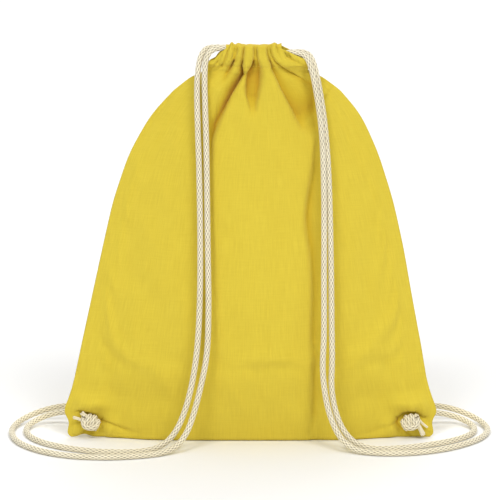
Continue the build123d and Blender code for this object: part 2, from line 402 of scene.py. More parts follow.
RIPPLE_SLOPE = 0.0045      # height of each wave of unevenness, as a share of its length
CLOTH_MASS = 0.14          # what the simulation takes a vertex to weigh
CLOTH_STRETCH = 20         # the simulation's stiffness against stretching and squeezing
CLOTH_SHEAR = 6
CLOTH_BENDING = 0.6
AIR_DAMPING = 2
CLOTH_SLACK = 0.010        # share by which the sheet is longer than the space it fills
SETTLE_FRAMES = 14
SETTLE_CAP = 0.0022        # the simulation moves no point further than this
STITCH_RISE = 0.0052       # the hem's stitch row above the neck
HOLE = (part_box("right_hole_stitching")[0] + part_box("right_hole_stitching")[1]) / 2
HOLE_RADIUS = 0.0056

# edges of the gathered hem: height above the neck, left, right
MOUTH_OUTLINE = [
    (0.0050, -0.0446, 0.0628),
    (0.0100, -0.0438, 0.0604),
    (0.0120, -0.0422, 0.0584),
    (0.0140, -0.0372, 0.0566),
    (0.0170, -0.0350, 0.0514),
    (0.0195, -0.0332, 0.0462),
    (0.0225, -0.0312, 0.0408),
    (0.0250, -0.0282, 0.0362),
    (0.0280, -0.0240, 0.0305),
    (0.0306, -0.0208, 0.0268),
]
# outline of a corner in millimetres: height, distance from the middle
CORNER_OUTLINE = [
    (0.0, 184.0), (1.5, 187.4), (5.0, 189.0), (10.0, 188.2), (15.0, 187.2), (20.0, 188.6),
    (24.5, 191.2), (28.0, 192.0), (33.0, 191.0), (40.0, 188.2), (52.0, 184.2), (64.0, 181.2),
]
# how far the hem's top lies below the highest point, in millimetres, at places across it
CROWN = [
    (-21.5, 2.4), (-20.0, 0.5), (-18.6, 0.0), (-16.6, 1.8), (-10.0, 2.4), (4.0, 2.9), (16.0, 2.6),
    (21.0, 1.8), (24.5, 0.2), (26.0, 0.6), (27.5, 2.2),
]

# folds of the front in millimetres, each a line of points: place across, height, depth, and reach
# to either side (left, then right, for a line listed downwards); a sixth number is how far the
# right side leans over the fold, or the left side, where it is negative
FOLDS = {
    "left_pocket": [
        (-17.3, 419, 5.4, 1.5, 1.3), (-16.4, 408, 7, 1.8, 1.4, 0.4), (-16, 399, 12, 3.2, 1.6, 1.4),
        (-18.4, 393, 12, 4.6, 1.8, 1.4), (-24, 385, 7, 7.5, 3, 0.6), (-34, 370, 0, 10, 8),
    ],
    "left_short": [
        (-12, 419, 5, 1, 1), (-14.2, 408, 5, 1.1, 1.1), (-15.8, 400, 2.5, 1.4, 1.4),
    ],
    "long_fold": [
        (-6.3, 419, 6, 1.2, 1.2), (-7.4, 404, 6.5, 1.8, 1.2, 0.5), (-7.6, 394, 13, 4, 1.2, 1.6),
        (-7, 384, 15, 7, 1.2, 1.8), (-12, 374, 15.5, 8.5, 1.3, 2.2), (-17.4, 364, 15.5, 10, 1.4, 2.6),
        (-24, 353.5, 14, 11, 1.6, 2.4), (-30, 343, 12, 11.5, 1.8, 2), (-36.4, 332, 12, 12, 2.2, 1.2),
        (-41, 318, 9, 12, 2.2, 0.8), (-41.6, 290, 4.6, 10, 2), (-40, 240, 3, 8, 1.8),
        (-38.2, 190, 2.6, 8, 1.8), (-36, 110, 2, 8, 2.4), (-35, 60, 1.4, 12, 8), (-34, 20, 0.6, 14, 14),
    ],
    "middle_pocket": [
        (3.6, 419, 5.6, 1, 1), (4.2, 404, 6.4, 1.4, 1.4), (1, 396, 13, 1.3, 5.4, -1.8),
        (-2.8, 387, 11, 1.4, 9, -1.4), (-4.4, 374, 9, 1.5, 9, -0.8), (-3.6, 362, 7, 1.8, 8),
        (-0.8, 352, 4, 2.6, 6), (2, 344, 0, 4, 6),
    ],
    "middle_hollow": [
        (8, 396, 3, 5, 2.6), (8.6, 386, 8, 8, 2.6), (8, 374, 8.8, 9, 3), (5.6, 362, 8, 8, 3.2),
        (3.2, 350, 4.6, 6, 4), (2.2, 341, 0, 4, 4),
    ],
    "middle_short": [
        (5.9, 419, 4, 0.9, 1), (6.4, 404, 5, 0.8, 1.3), (8.8, 396, 5, 2.6, 1.6, 0.8),
        (11, 386, 1.6, 4, 2.4), (13, 374, 0, 6, 4),
    ],
    "right_edge": [
        (15.8, 419, 5.6, 1.1, 1), (17.8, 405, 6.4, 1.2, 1.3, -0.4), (20, 396, 10, 1.2, 2.8, -1.4),
        (21.6, 390, 9, 1.3, 6, -1.4), (25, 383, 9, 1.4, 13, -1.4), (31.5, 369, 9.2, 1.6, 22, -1.4),
        (40.5, 352, 9, 1.8, 26, -1.2), (46, 342, 8.6, 2, 24, -1), (52.5, 331.5, 5.6, 2.2, 14, -0.6),
        (61, 327.5, 3, 3, 8), (70, 326, 0, 5, 7),
    ],
    "right_hollow": [
        (60, 388, 0, 8, 6), (62.5, 374, 4, 12, 6), (64, 352, 6, 15, 6), (66, 334, 6, 10, 6),
        (68, 318, 0, 7, 6),
    ],
    "right_diagonal": [
        (18.9, 419, 4.4, 0.9, 1.2), (20.8, 406, 5.4, 1, 1.8), (25.8, 398.6, 6.5, 2.4, 1.4, 0.9),
        (37, 390, 5.6, 3.4, 1.5, 1.1), (48, 382.4, 4.4, 4.2, 1.8, 0.9), (60, 374.5, 3, 5, 2.6, 0.4),
        (74, 362, 0, 9, 8),
    ],
    "right_gather": [
        (33.8, 413, 3.2, 1, 1), (37, 404, 3.6, 1.2, 1.2), (46, 399, 2.8, 1.5, 1.8),
        (57, 393, 1.6, 2, 2.6), (68, 386, 0, 3, 3),
    ],
    "right_nick": [
        (37.6, 411, 2.8, 0.8, 0.8), (40.6, 403, 2.6, 0.9, 0.9), (42.6, 397, 0, 1, 1),
    ],
    "right_bump": [
        (25.6, 419, 3, 1.2, 1.2), (28, 408, 2.4, 1.5, 1.5), (31.5, 400, 0, 2, 2),
    ],
    "left_gather": [
        (-21.6, 416, 2.8, 1, 1), (-24.6, 404, 4, 1.4, 1.4, 0.3), (-28, 396, 4, 2, 1.8, 0.6),
        (-35, 388, 1.8, 3, 3), (-43, 378, 0, 4, 4),
    ],
    "left_nick": [
        (-28.6, 410, 2.2, 0.9, 0.9), (-33, 399, 3.2, 1.3, 1.3), (-39.6, 391, 2, 2, 2),
        (-48, 383, 0, 3, 3),
    ],
    "left_pucker": [
        (-35, 397.5, 0.6, 0.9, 0.9), (-29, 394, 2.8, 1.2, 1.2), (-24.5, 394.5, 0.4, 1, 1),
    ],
    "left_shoulder": [
        (-44, 386, 0, 3, 3), (-56, 372, 3, 5, 5), (-78, 348, 2.6, 8, 8), (-97, 318, 1.4, 11, 12),
        (-110, 283, 0, 14, 14),
    ],
    "left_shoulder_low": [
        (-66, 377, 0, 3, 3), (-84, 359, 2.4, 5, 5), (-104, 330, 2, 8, 8), (-118, 296, 0, 11, 12),
    ],
    "right_shoulder": [
        (56, 388, 0, 3, 3), (76, 371, 2.6, 5, 4), (94, 349, 2.2, 8, 7), (108, 322, 1.2, 12, 10),
        (117, 290, 0, 14, 14),
    ],
    "right_line": [
        (68, 320, 1.9, 1.8, 6), (65, 290, 6.8, 1.6, 8), (61.6, 269, 8.1, 1.5, 9),
        (58.4, 250, 8.9, 1.5, 10), (57.5, 237, 9.2, 1.5, 10.5), (59, 222, 8.9, 1.5, 10.5),
        (61.8, 206, 8.1, 1.6, 10), (64, 184, 7.6, 1.7, 10), (65, 166, 7.3, 1.8, 10),
        (64.2, 133, 7, 1.8, 10), (64, 100, 7, 2, 11), (65, 66, 7, 2.2, 12), (64.6, 32, 6.5, 3, 14),
        (62.5, 8, 3.2, 5, 14),
    ],
    "left_band": [
        (-60, 300, 0, 12, 12), (-60, 230, 1.6, 12, 10), (-62, 120, 2, 14, 10), (-66, 60, 1.6, 14, 12),
        (-70, 30, 0.8, 14, 14),
    ],
    "left_corner": [
        (-153.5, 20.5, 4, 5, 1.8, 1.6), (-140, 15.4, 4.2, 7, 2.2, 1.2), (-126, 9.6, 3, 8, 3.2, 0.4),
        (-108, 5, 0, 9, 8),
    ],
    "left_knot_bed": [
        (-187, 23, 0, 3, 3), (-177, 30.5, 3, 5, 1.8, 1.4), (-168, 29, 6, 5, 1.6, 2.6),
        (-160, 25, 7, 4, 1.4, 2.8), (-153.5, 21, 8, 2.6, 1, 2),
    ],
    "left_gap": [
        (-153, 21.5, 9, 1.2, 1.6, -0.8), (-155.6, 14.6, 11, 1, 2, -0.8),
        (-158.6, 9.6, 11, 1, 2.2, -0.8), (-164.6, 6.6, 11, 1, 2, -0.6), (-170.4, 4.4, 9, 1, 1.8),
        (-174, 0, 7, 1, 1.6),
    ],
    "left_corner_rise": [
        (-158, 30, 0, 5, 4), (-147, 52, 2.2, 7, 5), (-137, 84, 1.6, 10, 8), (-128, 125, 0, 14, 12),
    ],
    "right_corner": [
        (153, 18, 3, 2.2, 5, -0.8), (139, 12.5, 2.6, 3, 8), (118, 7, 1.4, 5, 9), (98, 4, 0, 8, 9),
    ],
    "right_knot_bed": [
        (186, 17.5, 1.2, 2, 3), (176, 22.8, 4.4, 1.4, 4, -1.2), (170, 28.5, 6, 1.6, 5, -2.6),
        (163, 30, 7, 1.4, 5, -2.6), (156, 26.5, 7, 1.4, 4, -2.2), (151.4, 21, 8, 1, 2.4, -1.2),
    ],
    "right_gap": [
        (151, 21.5, 9, 1.6, 1.2, 0.8), (152.2, 14.4, 11, 2, 1, 0.8), (156.6, 9.4, 10, 2, 1, 0.8),
        (162, 4.6, 8, 1.8, 1), (166, 0, 6, 1.6, 1),
    ],
    "right_corner_rise": [
        (157, 32, 0, 4, 5), (149, 56, 1.8, 5, 7), (141, 86, 1.3, 8, 10), (133, 120, 0, 12, 14),
    ],
}
# soft swellings near the corners, in millimetres: across from the middle, height, size across and
# up, and how far the cloth stands out
SWELLINGS = [
    (164.0, 37.0, 16.0, 9.0, 11.0),
    (181.0, 30.0, 6.0, 9.0, 2.4),
    (179.0, 6.5, 6.0, 5.0, 3.0),
    (144.0, 12.0, 9.0, 10.0, 5.0),
    (166.0, 9.0, 7.0, 6.0, 2.4),
]
NOTCH = (-0.1715, 0.0065, 0.0032)    # lift of the base beside the left knot: place, reach, height


def smooth_line(heights, values, dense, spread):
    """Values at dense heights, joined by straight lines and then blurred over spread metres."""
    line = np.interp(dense, heights, values)
    step = dense[1] - dense[0]
    reach = int(4 * spread / step)
    kernel = np.exp(-0.5 * (np.arange(-reach, reach + 1) * step / spread) ** 2)
    padded = np.concatenate([
        2 * line[0] - line[reach:0:-1], line, 2 * line[-1] - line[-2:-reach - 2:-1],
    ])
    return np.convolve(padded, kernel / kernel.sum(), mode="valid")


def bag_profile():
    """Dense heights with the outline's edges, the lens section's edges and its depth."""
    tips = node_points("left_side_seam", "right_side_seam")
    tips = tips[np.abs(tips[:, 1]) < 1e-5]
    walls = node_points("front_panel")
    rows = []
    for height in np.unique(np.round(tips[:, 2], 4)):
        level = tips[np.abs(tips[:, 2] - height) < 1e-4]
        ring = walls[np.abs(walls[:, 2] - height) < 1e-4]
        if len(ring) and np.ptp(level[:, 0]) > 0.05:
            rows.append((height, level[:, 0].min(), level[:, 0].max(), -ring[:, 1].min()))
    heights, left, right, depth = np.array(rows).T
    ears = [(height * MM, -reach * MM, reach * MM) for height, reach in CORNER_OUTLINE]
    above = [(NECK + rise, low, high) for rise, low, high in MOUTH_OUTLINE]
    body = [row[:3] for row in rows if row[0] > ears[-1][0] + 0.001]
    outline = np.array(ears + body + above)
    dense = np.arange(0, TOP + 0.001, 0.0005)
    body_share = smoothstep(0.085, 0.12, dense) * (1 - smoothstep(0.35, 0.375, dense))

    def both(at, values):
        fine = smooth_line(at, values, dense, 0.0014)
        coarse = smooth_line(at, values, dense, 0.010)
        return fine + (coarse - fine) * body_share

    return {
        "heights": dense,
        "left": both(outline[:, 0], outline[:, 1]),
        "right": both(outline[:, 0], outline[:, 2]),
        "lens_left": smooth_line(heights, left, dense, 0.006),
        "lens_right": smooth_line(heights, right, dense, 0.006),
        "depth": smooth_line(heights, depth, dense, 0.012),
    }


def fold_at(x, z, points):
    """Depth of one fold at places across and heights, and how far the cloth there leans over it."""
    points = [point if len(point) == 6 else (*point, 0.0) for point in points]
    nearest = np.full(x.shape, np.inf)
    depth, lean_x, lean_z = np.zeros_like(x), np.zeros_like(x), np.zeros_like(x)
    for first, second in zip(points[:-1], points[1:]):
        run_x, run_z = second[0] - first[0], second[1] - first[1]
        length = math.hypot(run_x, run_z)
        along = ((x - first[0]) * run_x + (z - first[1]) * run_z) / length ** 2
        along = np.clip(along, 0, 1)
        off = np.hypot(x - first[0] - along * run_x, z - first[1] - along * run_z)
        to_right = run_x * (z - first[1]) - run_z * (x - first[0]) > 0
        amount, reach_left, reach_right, over = (
            first[k] + along * (second[k] - first[k]) for k in (2, 3, 4, 5)
        )
        reach = np.where(to_right, reach_right, reach_left)
        closer = off < nearest
        nearest = np.where(closer, off, nearest)
        depth = np.where(closer, amount * np.exp(-(off / reach) ** 1.25), depth)
        leaning = np.where(to_right, np.maximum(over, 0), np.minimum(over, 0))
        shift = -leaning * off / reach * np.exp(1 - off / reach)
        lean_x = np.where(closer, -shift * run_z / length, lean_x)
        lean_z = np.where(closer, shift * run_x / length, lean_z)
    return depth, lean_x, lean_z


def folds_at(x, z, mirrored):
    """All folds together: inward depth and leans across and up at places on the cloth, in metres."""
    flat_x, flat_z = x / MM, z / MM
    if mirrored:
        flat_x = MIRROR / MM - flat_x
    total = np.zeros((3,) + x.shape)
    for name, points in FOLDS.items():
        if mirrored and ("knot" in name or "gap" in name):
            continue
        total += fold_at(flat_x, flat_z, points)
    depth, lean_x, lean_z = total * MM
    return depth, -lean_x if mirrored else lean_x, lean_z


def ripples(x, z, seed):
    """Soft unevenness of cloth that has been folded and worn, in metres."""
    rng = np.random.default_rng(seed)
    total = np.zeros_like(x)
    for _ in range(RIPPLE_WAVES):
        direction = rng.uniform(-0.9, 0.9)
        length = rng.uniform(0.018, 0.080)
        phase = rng.uniform(0, 2 * math.pi)
        wave = 2 * math.pi * (x * math.cos(direction) + z * math.sin(direction)) / length
        total += length * np.sin(wave + phase + 0.8 * np.sin(wave * 0.31 + phase))
    return total * RIPPLE_SLOPE


def cloth_heights():
    """Heights of the cloth's rows: the flank up to the neck, then the hem."""
    flank = np.concatenate([
        np.linspace(0.0004, 0.004, 5), np.arange(0.0050, 0.040, 0.0011), np.arange(0.0415, 0.30, 0.0054),
        np.arange(0.302, 0.36, 0.0022), np.arange(0.361, NECK, 0.0010),
    ])
    hem = NECK + np.linspace(0, 1, HEM_ROWS) * (TOP - FOLD_ROUND - NECK)
    return flank, hem


def column_places():
    """Places of the columns, -1 to 1 across the cloth, closer together near both corners."""
    even = np.linspace(-1, 1, 2001)
    close = 1 + 1.3 * np.exp(-(((np.abs(even) - CORNER_SHARE) / 0.10) ** 2))
    count = np.cumsum(close) - close / 2
    wanted = np.linspace(count[0], count[-1], COLUMNS + 1)
    return np.interp(wanted, count, even)


def outer_surface(profile, side, seed):
    """Grid of the outer layer, from the base's edge to the roll at the top, as if on the front."""
    flank, hem = cloth_heights()
    nominal = np.concatenate([flank, hem])
    heights = profile["heights"]
    s = column_places()[None, :]

    def at(key, z):
        return np.interp(z, heights, profile[key])

    left, right = at("left", nominal)[:, None], at("right", nominal)[:, None]
    if side > 0:
        left = left + BACK_HEM_SHORT * smoothstep(NECK + 0.003, NECK + 0.008, nominal)[:, None]
    x = (left + right) / 2 + (right - left) / 2 * s
    z = np.repeat(nominal[:, None], COLUMNS + 1, axis=1)
    across, drop = np.array(CROWN).T * MM
    crown = TOP - np.interp(x[-1], across, drop)
    if side > 0:
        crown = TOP - BACK_DROP - 0.6 * np.interp(MIRROR - x[-1], across, drop)
    rise = smoothstep(NECK + 0.004, TOP - FOLD_ROUND, z)
    z = z + rise * (crown - TOP)[None, :]

    middle = (at("lens_left", z) + at("lens_right", z)) / 2
    base = 1 - smoothstep(0.0, 0.05, z)
    half = (at("lens_right", z) - at("lens_left", z)) / 2 + 0.010 * base
    off = np.clip(np.abs((x - middle) / half), 0, 1)
    power = 2.0 + 1.6 * smoothstep(0.33, 0.385, z) + 3.0 * base
    lens = at("depth", z) * (1 - off ** power) ** 1.1
    ear = smoothstep(0.075, 0.055, z) * smoothstep(0.130, 0.150, np.abs(x))
    rim = smoothstep(0.0, 0.07, 1 - np.abs(s))
    out = LEAST_STAND + ear * (EAR_FACE - LEAST_STAND) * rim
    for swell_x, swell_z, size_x, size_z, height in np.array(SWELLINGS) * MM:
        spread = ((np.abs(x) - swell_x) / size_x) ** 2 + ((z - swell_z) / size_z) ** 2
        out = out + height * np.exp(-spread) * rim * (1.0 if side < 0 else 0.3)
    flat = lens + out
    sleeve = (HEM_OUTER if side < 0 else HEM_OUTER_BACK) - 0.0050 * np.abs(s) ** 3
    share = smoothstep(NECK - 0.004, NECK + 0.009, z)
    stand = flat + (sleeve - flat) * share
    depth, lean_x, lean_z = folds_at(x, z, side > 0)
    stand = stand - depth * (share + (1 - share) * smoothstep(0.0, 0.05, 1 - np.abs(s)))
    calm = smoothstep(0.0, 0.10, 1 - np.abs(s)) * smoothstep(0.0, 0.05, z)
    stand = stand + ripples(x, z, seed) * calm * (1 - 0.6 * share)
    stand = stand - 0.0009 * np.exp(-(((z - NECK - STITCH_RISE) / 0.0011) ** 2))
    tunnel = smoothstep(NECK + 0.011, NECK + 0.0145, z)
    stand = np.where(stand < CORD_FACE, stand + tunnel * (CORD_FACE - stand), stand)
    stand = np.maximum(stand, LEAST_STAND)
    edge = np.clip(1 - z / EDGE_ROUND, 0, 1)
    stand = np.maximum(stand - EDGE_ROUND * (1 - np.sqrt(1 - edge ** 2)), LEAST_STAND)
    loose = smoothstep(0.0, 0.08, 1 - np.abs(s))
    x = x + lean_x * loose
    z = z + lean_z * loose * smoothstep(0.0, 0.010, z)
    z = z + base_lift(x) * (1 - smoothstep(0.0, 0.016, z))
    # painted shade: how far the material darkens the cloth's colour, from the depth of its folds
    shade = smoothstep(0.003, 0.013, depth)
    return x, stand, z, nominal, s, shade


def base_lift(x):
    """How far the base's edge is drawn up beside the left knot."""
    place, reach, height = NOTCH
    return height * np.exp(-(((x - place) / reach) ** 2))


def inner_layer(x, seed):
    """How far the inner layer of a hem stands from the middle, along the hem."""
    return np.maximum(HEM_INNER + 0.0016 * np.sin(x * 900 + seed), 0.0016)


def cloth_rows(profile, side, seed):
    """Rows of points and cut heights: base, outer layer, roll and turned-in layer."""
    x, stand, z, nominal, s, shade = outer_surface(profile, side, seed)
    rows = []
    level = 0.0004 + base_lift(x[0])
    for part in np.linspace(0, 1, BASE_ROWS + 1)[:-1]:
        rows.append((x[0], 0.0002 + part * (stand[0] - 0.0002), level, -0.012 * (1 - part)))
    for k in range(len(nominal)):
        rows.append((x[k], stand[k], z[k], nominal[k]))
    inner = inner_layer(x[-1], seed)
    for turn in np.linspace(0, math.pi, 8)[1:-1]:
        middle, half = (stand[-1] + inner) / 2, (stand[-1] - inner) / 2
        rolled = z[-1] + FOLD_ROUND * math.sin(turn)
        rows.append((x[-1], middle + half * math.cos(turn), rolled, TOP + 0.003 * turn))
    first_hem = len(nominal) - HEM_ROWS
    for k in range(len(nominal) - 1, first_hem + INNER_END, -2):
        apart = smoothstep(NECK + 0.004, NECK + 0.013, z[k])
        shut = stand[k] - HEM_GAP
        inside = np.maximum(shut + (inner_layer(x[k], seed) - shut) * apart, HEM_GAP)
        rows.append((x[k], inside, z[k], 2 * TOP + 0.006 - nominal[k]))
    points = np.array([
        np.stack(np.broadcast_arrays(row_x, side * row_y, row_z), axis=-1)
        for row_x, row_y, row_z, _ in rows
    ])
    cut = np.array([row[3] for row in rows])
    # painted shade: the roll and the turned-in layer darkened a little, the base not at all, the outer
    # layer along its folds
    shades = np.full(points.shape[:2], INSIDE_PAINTED_SHADE)
    shades[:BASE_ROWS] = 0.0
    shades[BASE_ROWS:BASE_ROWS + len(nominal)] = shade
    return points, cut, s[0], shades


def cut_holes(points, faces, first):
    """Opens the round hole in each corner, with its edge drawn to a circle."""
    reach = np.hypot(np.abs(points[:, 0]) - HOLE.x, points[:, 2] - HOLE.z)
    inside = (reach < HOLE_RADIUS) & (np.arange(len(points)) >= first)
    faces = faces[~inside[faces].all(axis=1)]
    used = np.zeros(len(points), bool)
    used[faces.ravel()] = True
    snap = inside & used
    factor = HOLE_RADIUS / np.maximum(reach[snap], 1e-6)
    centre = np.sign(points[snap, 0]) * HOLE.x
    points[snap, 0] = centre + (points[snap, 0] - centre) * factor
    points[snap, 2] = HOLE.z + (points[snap, 2] - HOLE.z) * factor
    return points, faces, used


def panel(name, side, profile, seed):
    """One side of the bag with its hem, as a single cut of cloth, and its rows of points."""
    rows, cut, s, shades = cloth_rows(profile, side, seed)
    faces = grid_faces(len(rows), COLUMNS + 1)
    if side > 0:
        faces = faces[:, ::-1]
    uvs = np.stack(np.broadcast_arrays(s[None, :] * FLAT_WIDTH / 2, cut[:, None]), axis=-1)
    uvs = uvs.reshape(-1, 2)
    points, faces, used = cut_holes(rows.reshape(-1, 3).copy(), faces, BASE_ROWS * (COLUMNS + 1))
    order = np.cumsum(used) - 1
    painted_shade = shades.reshape(-1)[used]
    return mesh_object(name, points[used], order[faces], uvs=uvs[used], painted_shade=painted_shade), rows


def settle(piece):
    """Lets a sheet slacken and hang by cloth simulation, held at its seams, hem and corners."""
    points = np.array([tuple(v.co) for v in piece.data.vertices])
    x, y, z = np.abs(points[:, 0]), points[:, 1], points[:, 2]
    # 1 where the sheet may move, and 0 at the base, the hem, the side seams and the corners
    free = smoothstep(0.010, 0.110, z) * (1 - smoothstep(NECK - 0.030, NECK - 0.008, z))
    free = free * smoothstep(0.0015, 0.010, np.abs(y))
    free = free * (1 - smoothstep(0.120, 0.145, x) * (1 - smoothstep(0.045, 0.075, z)))
    held = piece.vertex_groups.new(name="held")
    for index, weight in enumerate(1 - free):
        held.add([index], float(weight), "REPLACE")
    modifier = piece.modifiers.new("hang", "CLOTH")
    modifier.settings.quality = 6
    modifier.settings.mass = CLOTH_MASS
    modifier.settings.tension_stiffness = CLOTH_STRETCH
    modifier.settings.compression_stiffness = CLOTH_STRETCH
    modifier.settings.shear_stiffness = CLOTH_SHEAR
    modifier.settings.bending_stiffness = CLOTH_BENDING
    modifier.settings.air_damping = AIR_DAMPING
    modifier.settings.shrink_min = -CLOTH_SLACK
    modifier.settings.vertex_group_mass = "held"
    modifier.collision_settings.use_collision = False
    modifier.point_cache.frame_end = SETTLE_FRAMES
    scene = bpy.context.scene
    for step in range(1, SETTLE_FRAMES + 1):
        scene.frame_set(step)
    depsgraph = bpy.context.evaluated_depsgraph_get()
    hung = piece.evaluated_get(depsgraph).data
    moved = np.array([tuple(v.co) for v in hung.vertices]) - points
    piece.modifiers.clear()
    piece.vertex_groups.clear()
    scene.frame_set(1)
    reach = np.linalg.norm(moved, axis=1)
    moved *= (SETTLE_CAP * np.tanh(reach / SETTLE_CAP) / np.maximum(reach, 1e-9) * free)[:, None]
    points += moved
    side = np.sign(y[np.argmax(np.abs(y))])
    points[:, 1] = side * np.maximum(side * points[:, 1], np.minimum(side * y, 0.0006))
    piece.data.vertices.foreach_set("co", points.ravel())
    piece.data.update()


def apply_modifiers(piece):
    depsgraph = bpy.context.evaluated_depsgraph_get()
    final = bpy.data.meshes.new_from_object(piece.evaluated_get(depsgraph))
    old = piece.data
    piece.modifiers.clear()
    piece.data = final
    bpy.data.meshes.remove(old)
    final.name = piece.name


def thicken(piece, thickness):
    """Gives a sheet its thickness, inwards."""
    modifier = piece.modifiers.new("thickness", "SOLIDIFY")
    modifier.thickness = thickness
    modifier.offset = -1
    modifier.use_even_offset = False
    apply_modifiers(piece)


# ---- materials ----
class Nodes:
    """A material's node tree, with short calls to add nodes."""

    def __init__(self, name, **values):
        self.material = bpy.data.materials.new(name)
        self.material.use_nodes = True
        self.tree = self.material.node_tree
        self.shader = self.tree.nodes["Principled BSDF"]
        for key, value in values.items():
            self.shader.inputs[key.replace("_", " ")].default_value = value

    def add(self, kind, **values):
        node = self.tree.nodes.new("ShaderNode" + kind)
        for key, value in values.items():
            if key in node.inputs:
                node.inputs[key].default_value = value
            else:
                setattr(node, key, value)
        return node

    def scaled(self, source, scale, output="UV"):
        """A vector from a coordinate output, stretched by scale."""
        mapping = self.add("Mapping")
        mapping.inputs["Scale"].default_value = scale
        self.tree.links.new(source.outputs[output], mapping.inputs["Vector"])
        return mapping

    def noise(self, vector, detail, roughness=0.5):
        noise = self.add("TexNoise")
        noise.inputs["Scale"].default_value = 1.0
        noise.inputs["Detail"].default_value = detail
        noise.inputs["Roughness"].default_value = roughness
        self.tree.links.new(vector.outputs[0], noise.inputs["Vector"])
        return noise

    def ramp(self, source, low, high, dark, bright):
        ramp = self.add("ValToRGB")
        ramp.color_ramp.elements[0].position = low
        ramp.color_ramp.elements[1].position = high
        ramp.color_ramp.elements[0].color = (*dark, 1)
        ramp.color_ramp.elements[1].color = (*bright, 1)
        self.tree.links.new(source.outputs[0], ramp.inputs[0])
        return ramp

    def multiplied(self, first, second):
        """The product of the colours of two nodes."""
        mix = self.add("Mix", data_type="RGBA", blend_type="MULTIPLY")
        mix.inputs["Factor"].default_value = 1.0
        self.tree.links.new(self.result(first), mix.inputs[6])
        self.tree.links.new(self.result(second), mix.inputs[7])
        return mix

    def result(self, node):
        return node.outputs[2] if node.bl_idname == "ShaderNodeMix" else node.outputs[0]

    def colour(self, source):
        self.tree.links.new(self.result(source), self.shader.inputs["Base Color"])

    def bump(self, sources, distance):
        """Bumps one on another: (node, strength) pairs."""
        last = None
        for source, strength in sources:
            bump = self.add("Bump")
            bump.inputs["Strength"].default_value = strength
            bump.inputs["Distance"].default_value = distance
            self.tree.links.new(source.outputs[0], bump.inputs["Height"])
            if last:
                self.tree.links.new(last.outputs[0], bump.inputs["Normal"])
            last = bump
        self.tree.links.new(last.outputs[0], self.shader.inputs["Normal"])


CLOTH_COLOUR = (0.795, 0.628, 0.061)
CLOTH_SHADE = (0.745, 0.566, 0.045)
# painted shade: colours that the cloth is multiplied by, in a shallow fold and deep in a crease, for the
# shade and bounced light between folds
FOLD_PAINTED_SHADE = (0.90, 0.83, 0.58)
CREASE_PAINTED_SHADE = (0.74, 0.54, 0.38)
CORD_COLOUR = (0.990, 0.925, 0.720)
# painted shade in the gaps between a braid's strands
CORD_SHADE = (0.230, 0.175, 0.105)
THREAD_PITCH = 0.00055     # distance between threads of the weave


def cotton_material():
    """Plain-woven dyed cotton: threads both ways, slubs along them, soft mottling, and painted shade
    along its folds.
    """
    make = Nodes("yellow_cotton", Roughness=0.88, Sheen_Weight=0.25, Sheen_Roughness=0.5)
    make.shader.inputs["Specular IOR Level"].default_value = 0.18
    make.shader.inputs["Sheen Tint"].default_value = (1.0, 0.9, 0.45, 1)
    cut = make.add("UVMap", uv_map="cut")
    waves = []
    for axis in "XY":
        wave = make.add("TexWave", wave_type="BANDS", bands_direction=axis, wave_profile="SIN")
        wave.inputs["Scale"].default_value = 0.314 / THREAD_PITCH
        wave.inputs["Distortion"].default_value = 0.6
        wave.inputs["Detail"].default_value = 1.0
        make.tree.links.new(cut.outputs[0], wave.inputs["Vector"])
        waves.append(wave)
    weave = make.add("Math", operation="ADD")
    make.tree.links.new(waves[0].outputs[1], weave.inputs[0])
    make.tree.links.new(waves[1].outputs[1], weave.inputs[1])
    slubs = make.noise(make.scaled(cut, (900.0, 45.0, 1.0)), 2.0)
    weft = make.noise(make.scaled(cut, (40.0, 800.0, 1.0)), 2.0)
    mottle = make.noise(make.scaled(cut, (26.0, 16.0, 1.0)), 4.0, 0.6)
    streaks = make.ramp(slubs, 0.32, 0.70, (0.93, 0.91, 0.84), (1.0, 1.0, 1.0))
    cross = make.ramp(weft, 0.30, 0.70, (0.965, 0.955, 0.91), (1.0, 1.0, 1.0))
    base = make.ramp(mottle, 0.25, 0.75, CLOTH_SHADE, CLOTH_COLOUR)
    soft = make.add("Mix", data_type="RGBA", blend_type="MIX")
    soft.inputs["Factor"].default_value = 0.30
    soft.inputs[6].default_value = (*CLOTH_COLOUR, 1)
    make.tree.links.new(base.outputs[0], soft.inputs[7])
    woven = make.multiplied(make.multiplied(soft, streaks), cross)
    # painted shade: the colour is darkened and reddened along the folds, by a value stored on the mesh
    # from their depth
    crease = make.add("Attribute", attribute_name="painted_shade", attribute_type="GEOMETRY")
    painted_fold_shade = make.add("ValToRGB")
    painted_fold_shade.color_ramp.elements[0].color = (1, 1, 1, 1)
    painted_fold_shade.color_ramp.elements[1].color = (*CREASE_PAINTED_SHADE, 1)
    painted_fold_shade.color_ramp.elements.new(0.55).color = (*FOLD_PAINTED_SHADE, 1)
    make.tree.links.new(crease.outputs["Fac"], painted_fold_shade.inputs[0])
    make.colour(make.multiplied(woven, painted_fold_shade))
    make.bump([(weave, 0.35), (slubs, 0.25), (weft, 0.15)], 0.00025)
    return make.material


